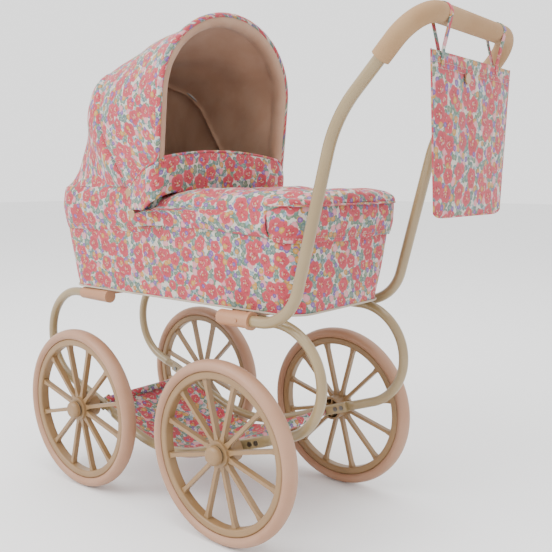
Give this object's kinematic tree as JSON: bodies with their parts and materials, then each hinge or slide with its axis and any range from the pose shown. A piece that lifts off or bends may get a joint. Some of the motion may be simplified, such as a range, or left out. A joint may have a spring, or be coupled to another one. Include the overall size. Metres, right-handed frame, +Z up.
{
  "type": "doll's pram",
  "caption": "Doll's pram: padded fabric carrycot with folding hood on a sprung tube chassis, four spoked wheels, push handle, basket and hanging bag.",
  "frame": {"origin": "on the floor under the middle of the pram's overall length, midway between its sides", "axes": "+Z up, +X to the pram's left as it is pushed forward, -Y towards the hood end and +Y towards the handle"},
  "size_m": [0.3184, 0.7321, 0.7298],
  "materials": {
    "board": "plain board",
    "bright_ring": "bright",
    "fitting_plastic": "smooth moulded",
    "grip_foam": "matte foam",
    "lining_cloth": "plain cotton",
    "print_cloth": "flower print cotton",
    "steel": "plain steel",
    "stud_metal": "pale gold",
    "tube_paint": "satin gloss khaki paint",
    "tyre": "satin rubber",
    "wheel_plastic": "smooth moulded"
  },
  "bodies": {
    "chassis": {"apron": "print_cloth", "basket_studs": "stud_metal", "cot_cover": "print_cloth", "cot_floor": "board", "cot_lining": "lining_cloth", "cot_piping": "lining_cloth", "cot_studs": "stud_metal", "cot_walls": "board", "frame_rivets": "steel", "front_axle": "steel", "front_crossbar": "fitting_plastic", "handle_grip": "grip_foam", "handle_tube": "tube_paint", "hood_pivot_pins": "steel", "hood_skirt": "print_cloth", "left_front_fitting": "fitting_plastic", "left_front_hub_cap": "wheel_plastic", "left_front_retaining_ring": "bright_ring", "left_front_spring": "tube_paint", "left_hood_bracket": "steel", "left_lower_rail": "tube_paint", "left_rear_fitting": "fitting_plastic", "left_rear_hub_cap": "wheel_plastic", "left_rear_retaining_ring": "bright_ring", "left_rear_spring": "tube_paint", "mattress": "lining_cloth", "rear_axle": "steel", "rear_crossbar": "fitting_plastic", "right_front_fitting": "fitting_plastic", "right_front_hub_cap": "wheel_plastic", "right_front_retaining_ring": "bright_ring", "right_front_spring": "tube_paint", "right_hood_bracket": "steel", "right_lower_rail": "tube_paint", "right_rear_fitting": "fitting_plastic", "right_rear_hub_cap": "wheel_plastic", "right_rear_retaining_ring": "bright_ring", "right_rear_spring": "tube_paint", "storage_basket": "print_cloth"},
    "left_front_wheel_body": {"left_front_tyre": "tyre", "left_front_wheel": "wheel_plastic"},
    "right_front_wheel_body": {"right_front_tyre": "tyre", "right_front_wheel": "wheel_plastic"},
    "left_rear_wheel_body": {"left_rear_tyre": "tyre", "left_rear_wheel": "wheel_plastic"},
    "right_rear_wheel_body": {"right_rear_tyre": "tyre", "right_rear_wheel": "wheel_plastic"},
    "hood_front": {"front_hood_bow": "steel", "hood_canopy": "print_cloth", "hood_lining": "lining_cloth"},
    "hood_middle": {"rear_hood_bow": "steel"},
    "flap": {"draft_flap": "print_cloth"},
    "hanging_bag": {"bag": "print_cloth", "bag_loops": "print_cloth", "bag_stud": "stud_metal"},
    "left_button": {"left_handle_button": "fitting_plastic"},
    "right_button": {"right_handle_button": "fitting_plastic"}
  },
  "joints": [
    {"name": "left_front_wheel_spin", "type": "hinge", "parent": "chassis", "child": "left_front_wheel_body", "pos_m": [0.1382, -0.23079, 0.127], "axis": [1, 0, 0], "continuous": true},
    {"name": "left_rear_wheel_spin", "type": "hinge", "parent": "chassis", "child": "left_rear_wheel_body", "pos_m": [0.1382, 0.07921, 0.127], "axis": [1, 0, 0], "continuous": true},
    {"name": "right_front_wheel_spin", "type": "hinge", "parent": "chassis", "child": "right_front_wheel_body", "pos_m": [-0.1382, -0.23079, 0.127], "axis": [1, 0, 0], "continuous": true},
    {"name": "right_rear_wheel_spin", "type": "hinge", "parent": "chassis", "child": "right_rear_wheel_body", "pos_m": [-0.1382, 0.07921, 0.127], "axis": [1, 0, 0], "continuous": true},
    {"name": "hood_fold", "type": "hinge", "parent": "chassis", "child": "hood_front", "pos_m": [0, -0.11779, 0.485], "axis": [1, 0, 0], "range_deg": [0, 95], "deforming": ["hood_canopy", "hood_lining"]},
    {"name": "hood_middle_fold", "type": "hinge", "parent": "chassis", "child": "hood_middle", "pos_m": [0, -0.11779, 0.485], "axis": [1, 0, 0], "range_deg": [0, 40]},
    {"name": "flap_fold", "type": "hinge", "parent": "chassis", "child": "flap", "pos_m": [0, -0.04429, 0.4779], "axis": [-1, 0, 0], "range_deg": [0, 86]},
    {"name": "bag_swing", "type": "hinge", "parent": "chassis", "child": "hanging_bag", "pos_m": [0, 0.35301, 0.6665], "axis": [1, 0, 0], "range_deg": [-25, 60]},
    {"name": "left_button_press", "type": "slide", "parent": "chassis", "child": "left_button", "axis": [-1, 0, 0], "range_m": [0, 0.0025], "stiffness_N_per_m": 400},
    {"name": "right_button_press", "type": "slide", "parent": "chassis", "child": "right_button", "axis": [1, 0, 0], "range_m": [0, 0.0025], "stiffness_N_per_m": 400}
  ],
  "couplings": [
    {"joint": "hood_middle_fold", "follows": "hood_fold", "ratio": 0.42}
  ]
}
